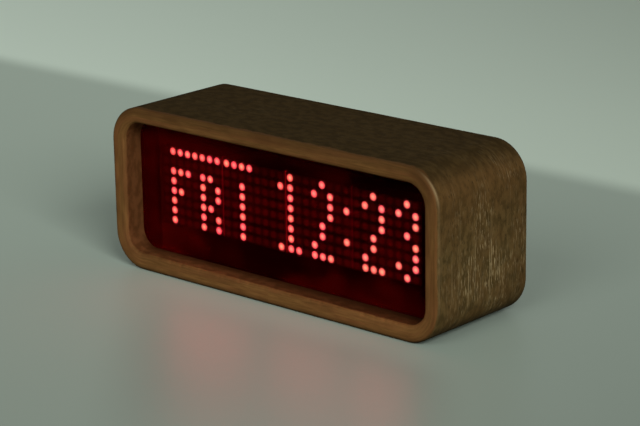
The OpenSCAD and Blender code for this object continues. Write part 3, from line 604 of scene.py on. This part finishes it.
def glimmer_share(x, z):
    """A share that falls in the first column and in the top row of the display."""
    from_left = 0.45 + 0.55 * (x - shell_low.x).step(0.7 * pitch, 1.6 * pitch)
    from_top = 0.40 + 0.60 * (shell_high.z - z).step(0.7 * pitch, 1.6 * pitch)
    return from_left * from_top


start = begin("unlit_red")
x, _, z = start.place().parts()
edge = cell_radius(x, z).step(0.5 * MM, 1.6 * MM)
glimmer = cell_chance(x, z).mix(edge.mix(GLIMMER_MIDDLE, GLIMMER_EDGE), GLIMMER_FAINT)
surface(
    start,
    Base_Color=edge.mix((0.09, 0.012, 0.015), (0.05, 0.007, 0.007)),
    Roughness=0.35,
    Emission_Color=glimmer_share(x, z).mix(BLACK, glimmer),
    Emission_Strength=0.070,
)
print("unlit dots:", len(start.tree.nodes), "nodes")

# %% [markdown]
# The shells are black, and their faces carry a painted red glow between the dots of a row, for the dots'
# light that falls on them. Light leaks through their sides a little way behind the front, so the narrow
# seams between two modules show as thin red lines, the middle one brightest.

# %% Module shells
FACE_GLOW_RED = (0.080, 0.0, 0.0050)
LEAK_RED = (1.0, 0.01, 0.04)


def past_module(x, count):
    """A step from 0 to 1 inside the module that has so many others to its left."""
    return x.step(shell_low.x + (count + 0.2) * module_step, shell_low.x + (count + 0.8) * module_step)


start = begin("shell_black")
place = start.place()
x, y, z = place.parts()
half_w = module_w / 2
from_middle = abs(across_module(x) - half_w)
into_seam = y - shell_low.y
behind_front = into_seam.step(0.6 * MM, 0.85 * MM) * (1 - into_seam.step(1.3 * MM, 1.8 * MM))
last_end = past_module(x, 3)
seam_strength = 0.43 + past_module(x, 1) * 0.37 - past_module(x, 2) * 0.67 - last_end * 0.13
leak = from_middle.step(half_w - 0.06 * MM, half_w - 0.01 * MM) * behind_front * seam_strength
in_row = 1 - abs(up_cell(z)).step(0.9 * MM, 1.7 * MM)
at_side = from_middle.step(half_w - 0.7 * MM, half_w - 0.2 * MM) * (1 - last_end)
# Painted red glow on the shell faces between the dots of a row.
face_glow = (in_row * (0.27 + 0.73 * at_side) * glimmer_share(x, z)).mix(BLACK, FACE_GLOW_RED)
surface(
    start,
    Base_Color=place.noise(900).mix((0.012, 0.008, 0.008), (0.022, 0.014, 0.014)),
    Roughness=0.55,
    Specular_IOR_Level=0.1,
    Emission_Color=leak.mix(face_glow, LEAK_RED),
    Emission_Strength=0.8,
)
print("module shells:", len(start.tree.nodes), "nodes")

# %% [markdown]
# ## The red window
# The window is a sheet of red plastic with a dull face. It bends light as real plastic does, so that the
# dots seem nearer than they are. Two refractions are mixed: a clear one, and a cloudy one that spreads the
# light of each dot into a soft halo. A trace of plain red on top is the haze of a face that has been wiped
# many times, weaker over the display. A glossy glass shader would mirror the pale desk, which a dull face
# doesn't.

# %% Red plastic
PLASTIC_IOR = 1.49
CLEAR_RED = (0.707, 0.40, 0.375, 1.0)
CLOUDY_RED = (0.72, 0.28, 0.27, 1.0)
CLOUDY_SHARE = 0.23
DULL_FACE = {"Base Color": (0.4, 0.0015, 0.002, 1.0), "Roughness": 0.45, "Specular IOR Level": 0.02}
start = begin("red_acrylic")
clear, cloudy = (
    start.add("ShaderNodeBsdfRefraction", None, {"Color": red, "Roughness": rough, "IOR": PLASTIC_IOR})
    for red, rough in ((CLEAR_RED, 0.03), (CLOUDY_RED, 0.6))
)
plastic = start.add("ShaderNodeMixShader", None, {0: CLOUDY_SHARE, 1: clear, 2: cloudy})
haze = start.add("ShaderNodeBsdfPrincipled", None, DULL_FACE)
place = start.place()
x, _, z = place.parts()
smears = place.stretched(34, 34, 60).noise(detail=2).step(0.42, 0.68)
# Painted light: the haze is made stronger towards the left, where more light reaches the window.
left_light_share = 1 - x.step(-80 * MM, 20 * MM)
half_h = (shell_high.z - shell_low.z) / 2
past_rows = abs(z - (shell_low.z + half_h)).step(half_h - 2 * MM, half_h + 3 * MM)
over_display = (1 - past_rows) * (1 - abs(x).step(64 * MM, 70 * MM))
haze_share = 0.006 + (smears * 0.055 + left_light_share * left_light_share * 0.035) * (1 - over_display * 0.75)
window = start.add("ShaderNodeMixShader", None, {0: haze_share, 1: plastic, 2: haze})
start.add("ShaderNodeOutputMaterial", None, {"Surface": window})
print("red plastic:", len(start.tree.nodes), "nodes")

# %% [markdown]
# ## Plain finishes
# The rest of the clock is sawn, turned, moulded, plated or insulated. Each kind of finish is one function
# with its own small irregularity: mould grain on plastic, draw lines on metal, sawn wood inside that is
# darkened as painted shade.


# %% Wood of the inside and of the rear cover
def scaled(colour, share):
    """A colour times a number, which makes it darker or lighter."""
    return tuple(share * c for c in colour)


def sawn_wood(name, dark, light, stretch, rough):
    """Bands and fibres of noise at the Object coordinates, stretched along one axis."""
    start = begin(name)
    fibre_place = start.place().stretched(*stretch)
    bands = fibre_place.noise(0.1, 3)
    fibres = fibre_place.noise(1.2, 2)
    pores = fibre_place.noise(2.0, 1).step(0.60, 0.68)
    tone = (bands * 0.6 + fibres * 0.4).step(0.3, 0.7)
    surface(
        start,
        Base_Color=(pores * 0.6).mix(tone.mix(dark, light), scaled(dark, 0.4)),
        Roughness=rough + fibres * 0.1,
        Specular_IOR_Level=0.3,
        Normal=(fibres * 0.5 - pores * 0.5).bump(0.1 * MM, 0.5),
    )


# The wood inside is written dark, painted shade for the dim inside of the case.
sawn_wood("inner_wood", (0.08, 0.045, 0.024), (0.14, 0.08, 0.045), (900, 900, 70), 0.7)
# The rear cover's wood is written paler, painted light for a back that stands in shade.
sawn_wood("cover_wood", (0.112, 0.061, 0.027), (0.215, 0.125, 0.057), (70, 900, 900), 0.55)
print("finishes with sawn wood:", len(finishes))

# %% [markdown]
# Plastics, ceramics and the leads' insulation differ in their colour and roughness.


# %% Moulded and insulated finishes
def moulded(name, colour, rough, grain=2500):
    """Plastic with a fine mould grain and a faint unevenness of colour."""
    start = begin(name)
    speckle = start.place().noise(grain, 2)
    cloud = start.place().noise(120, 2)
    surface(
        start,
        Base_Color=cloud.mix(scaled(colour, 0.85), scaled(colour, 1.15)),
        Roughness=rough + speckle * 0.12,
        Normal=speckle.bump(0.02 * MM, 0.4),
    )


moulded("moulded_black", (0.045, 0.045, 0.05), 0.45)
moulded("ceramic_tan", (0.55, 0.4, 0.24), 0.4)
moulded("capacitor_blue", (0.03, 0.05, 0.2), 0.25)
moulded("connector_white", (0.8, 0.76, 0.66), 0.4)
moulded("jack_black", (0.028, 0.028, 0.03), 0.3)
moulded("cap_black", (0.04, 0.04, 0.042), 0.38, 1800)
moulded("ribbon_grey", (0.45, 0.45, 0.47), 0.5)
moulded("lead_red", (0.45, 0.035, 0.03), 0.4)
moulded("lead_blue", (0.07, 0.16, 0.42), 0.4)
print("finishes with plastics:", len(finishes))

# %% [markdown]
# Turned and drawn metals show fine lines along the piece, and plated ones an even grain.


# %% Metals
def metal(name, colour, rough, stretch=(300, 300, 300)):
    """Metal with draw lines that run where the stretch is small, and a little tarnish."""
    start = begin(name)
    lines = start.place().stretched(*stretch).noise(4, 2)
    tarnish = start.place().noise(400, 3).step(0.35, 0.75)
    surface(
        start,
        Base_Color=tarnish.mix(colour, scaled(colour, 0.72)),
        Metallic=1.0,
        Roughness=rough + lines * 0.16,
        Normal=lines.bump(0.01 * MM, 0.3),
    )


metal("tinned_metal", (0.72, 0.72, 0.7), 0.25)
metal("screw_steel", (0.62, 0.62, 0.6), 0.28)
metal("spacer_brass", (0.75, 0.56, 0.24), 0.25, (40, 600, 600))
metal("pin_chrome", (0.8, 0.79, 0.76), 0.12, (600, 40, 600))
metal("spring_steel", (0.55, 0.55, 0.55), 0.3)
print("finishes with metals:", len(finishes))

# %% [markdown]
# A circuit board is green resist over copper. Its tracks are stripes that run up in some patches and across
# in others, and the resist stands a little lower over the gaps between them.

# %% Circuit boards
TRACK_PITCH = 1.1 * MM


def stripes(place):
    """Stripes along one axis, from the distance to the middle of each pitch."""
    return abs((place % TRACK_PITCH) / TRACK_PITCH - 0.5).step(0.22, 0.26)


start = begin("board_green")
place = start.place()
x, _, z = place.parts()
choice = place.stretched(160, 1, 60).noise(1, 0).step(0.46, 0.5)
gaps = choice * stripes(x) + (1 - choice) * stripes(z)
surface(
    start,
    Base_Color=gaps.mix((0.02, 0.16, 0.06), (0.012, 0.09, 0.035)),
    Roughness=0.32 + place.noise(600) * 0.1,
    Normal=(1 - gaps).bump(0.03 * MM, 0.5),
)
print("finishes with circuit boards:", len(finishes))

# %% [markdown]
# ## A finish for every solid
# The record names each solid's material slot, and each finish has the name of its slot.

# %% Dress the solids
for part in record["subparts"]:
    slots = nodes[part["node"]].data.materials
    slots.clear()
    slots.append(finishes[part["material_slot"]])
print("dressed solids:", len(record["subparts"]))

# %% [markdown] ## The return springs Each button has a coil spring behind it, which shortens when the
# button is pressed.


# %% A coil of wire
def coil(low, high, wire_r, turns, rings=20):
    """A round wire carried along a helix that fills the box from low to high, along Y.

    The path goes round a circle while it rises. The section lies across the path: one of its axes points
    away from the helix's middle line, and the other is square to that and to the path. Three faces close
    each end.
    """
    sides = 8
    end_faces = np.array([[0, 1, 2, 3], [0, 3, 4, 7], [7, 4, 5, 6]])
    coil_r = (high[0] - low[0]) / 2 - wire_r
    rise = high[1] - low[1] - 2 * wire_r
    share = np.linspace(0, 1, turns * rings + 1)
    turn = 2 * np.pi * turns * share
    slope = np.full_like(turn, rise / (2 * np.pi * turns * coil_r))
    away = np.stack([np.cos(turn), np.zeros_like(turn), np.sin(turn)], axis=1)
    route = (low + high) / 2 + coil_r * away
    route[:, 1] = low[1] + wire_r + rise * share
    ahead = np.stack([-np.sin(turn), slope, np.cos(turn)], axis=1)
    ahead /= np.linalg.norm(ahead, axis=1)[:, None]
    aside = np.cross(ahead, away)
    angle = (2 * np.pi * np.arange(sides) / sides)[:, None]
    ring = np.cos(angle) * away[:, None, :] + np.sin(angle) * aside[:, None, :]
    points = route[:, None, :] + wire_r * ring
    i, j = np.meshgrid(np.arange(len(route) - 1), np.arange(sides), indexing="ij")
    next_j = (j + 1) % sides
    walls = np.stack([i, i, i + 1, i + 1], axis=2) * sides + np.stack([j, next_j, next_j, j], axis=2)
    far_faces = end_faces + (len(route) - 1) * sides
    return points, np.concatenate([walls.reshape(-1, 4), end_faces[:, ::-1], far_faces])


SPRING_WIRE_R = 0.25 * MM
SPRING_TURNS = 6
print("a spring's wire is", 2 * SPRING_WIRE_R / MM, "mm thick")

# %% [markdown]
# Each coil rides on the clock's body in place of its solid. The record tells which joint presses it, how
# far, and where its fixed end is.

# %% Return springs
for joint in record["behaviour"]["joints"]:
    held = joint["deforming_nodes"][0]
    low, high = (np.array(corner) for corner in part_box(held["node"]))
    spring = put_mesh(held["node"] + "_coil", *coil(low, high, SPRING_WIRE_R, SPRING_TURNS))
    spring.data.materials.append(finishes["spring_steel"])
    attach(spring, "clock_body")
    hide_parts(held["node"])
    fixed = (low + high) / 2
    fixed[1] = held["fixed_end_y_m"]
    kept_length = 1 - joint["range_m"][1] / (high[1] - fixed[1])
    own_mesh(spring)
    print(spring.name, "keeps", round(kept_length, 3), "of its length when pressed")

# %% [markdown]
# ## Desk and light
# The clock stands on a plain pale desk with a soft sheen. Painted shade makes the desk darker towards its
# near right corner, a painted shadow darkens it just before the clock, and what lies beyond its far edge
# is a little lighter. Its colours drift along its two diagonals as painted light and shade.

# %% Desk
DESK_HALF = 6.0
DESK_END, END_BLUR = 0.19, 0.012
DIAGONAL_X, DIAGONAL_Y = 0.641, 0.713
NEAR_START, NEAR_LENGTH = -0.45, 0.75
FAR_START, FAR_LENGTH = -0.2, 0.4
NEAR_LIGHT, NEAR_DARK = (0.396, 0.479, 0.398), (0.127, 0.154, 0.127)
FAR_LIGHT, FAR_DARK = (0.655, 0.773, 0.655), (0.372, 0.443, 0.366)
desk_grid = DESK_HALF * np.array([[-1, -1], [1, -1], [1, 1], [-1, 1]])
desk_points = np.column_stack([desk_grid, np.full(4, cad_box[0][2])])
desk = put_mesh("desk", desk_points, np.arange(4))
start = begin("pale_desk")
x, y, _ = start.place().parts()
to_near = x * DIAGONAL_X - y * DIAGONAL_Y
to_far = x * DIAGONAL_Y + y * DIAGONAL_X
# Painted shade towards the near right corner; below it, a painted shadow just before the clock.
shade = (to_near - NEAR_START) / NEAR_LENGTH + to_far.math("MAXIMUM", 0.0) * 0.9
painted_clock_shadow = to_far.step(-0.080, -0.050) * (1 - to_far.step(0.028, 0.052))
painted_clock_shadow = painted_clock_shadow * (1 - y.step(-0.052, -0.030))
painted_clock_shadow = painted_clock_shadow * (1 - abs(to_near - 0.08).step(0.01, 0.10) * 0.7)
near_desk = (painted_clock_shadow * 0.16).mix(shade.mix(NEAR_LIGHT, NEAR_DARK), BLACK)
# Painted light and shade: the far part of the desk grows lighter towards the left.
far_desk = ((to_far - FAR_START) / FAR_LENGTH).mix(FAR_LIGHT, FAR_DARK)
beyond = y.step(DESK_END - END_BLUR, DESK_END + END_BLUR)
surface(start, Base_Color=beyond.mix(near_desk, far_desk), Roughness=0.42, Specular_IOR_Level=0.4)
desk.data.materials.append(finishes["pale_desk"])
print("desk laid at", desk_points[0, 2])

# %% [markdown]
# The room is lit by an even sky, a lamp from the right, a larger one from the front and a weak one from
# behind. Three small red lamps just in front of the window, one for each group of lit dots, throw the
# display's glow onto the desk.


# %% Lamps
def area_lamp(name, place, aim, size, power, colour=(1.0, 1.0, 1.0)):
    """A square lamp that looks from a place at an aim. The camera doesn't see it."""
    data = bpy.data.lights.new(name, "AREA")
    data.size = size
    data.energy = power
    data.color = colour
    lamp = bpy.data.objects.new(name, data)
    bpy.context.scene.collection.objects.link(lamp)
    lamp.location = place
    lamp.rotation_euler = (Vector(aim) - Vector(place)).to_track_quat("-Z", "Y").to_euler()
    lamp.visible_camera = False
    return lamp


GLOW_RED = (1.0, 0.10, 0.09)
GLOW_Y, GLOW_Z, GLOW_H = -0.0262, 0.034, 0.03
AIM_Y, AIM_Z = -1.0, -0.25
case_middle = (0.0, 0.0, case_h / 2)
area_lamp("right_lamp", (1.3, -0.75, 0.9), case_middle, 0.7, 31)
area_lamp("front_lamp", (0.4, -1.7, 1.1), case_middle, 1.2, 22)
area_lamp("back_lamp", (0.9, 1.8, 0.3), case_middle, 1.2, 8)
for name, at_x, width, power in (
    ("day_glow", -0.034, 0.044, 0.0080),
    ("hour_glow", 0.0155, 0.036, 0.0060),
    ("minute_glow", 0.0535, 0.028, 0.0056),
):
    glow = area_lamp(name, (at_x, GLOW_Y, GLOW_Z), (at_x, AIM_Y, AIM_Z), width, power, GLOW_RED)
    glow.data.shape = "RECTANGLE"
    glow.data.size_y = GLOW_H

# %% [markdown]
# The sky is one pale colour all round. The view transform is the plain one, which leaves the colours as
# they are.

# %% Sky
sky = bpy.data.worlds.new("sky")
sky.use_nodes = True
background = sky.node_tree.nodes["Background"].inputs
background["Color"].default_value = (0.94, 1.0, 0.95, 1.0)
background["Strength"].default_value = 0.22
bpy.context.scene.world = sky
bpy.context.scene.view_settings.view_transform = "Standard"
print("sky strength:", round(background["Strength"].default_value, 2))
